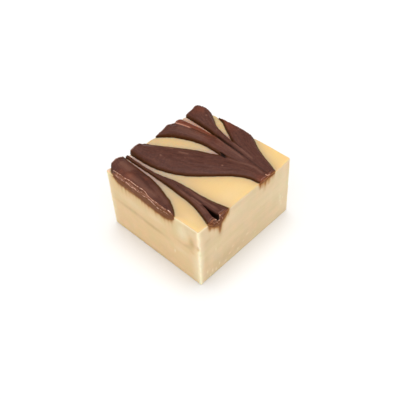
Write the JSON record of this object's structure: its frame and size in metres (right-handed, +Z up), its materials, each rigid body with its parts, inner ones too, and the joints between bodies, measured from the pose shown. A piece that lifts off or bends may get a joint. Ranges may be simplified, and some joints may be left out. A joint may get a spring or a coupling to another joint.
{
  "type": "square of pale fudge with a chocolate swirl",
  "caption": "Cut square of pale caramel-coloured fudge, thick tongues of milk chocolate swirled through its top and cut off at its sides.",
  "frame": {"origin": "middle of the footprint, on the surface that the square stands on", "axes": "+Z up, +X towards the side where the chocolate fans out from, +Y along the longer side of the footprint"},
  "size_m": [0.04, 0.0428, 0.0265],
  "materials": {
    "fudge": "smooth, faintly waxy",
    "chocolate": "satin"
  },
  "bodies": {
    "root": {"fudge_block": "fudge", "chocolate_fan": "chocolate", "chocolate_narrow_tongue": "chocolate", "chocolate_side_tongue": "chocolate"}
  },
  "joints": []
}
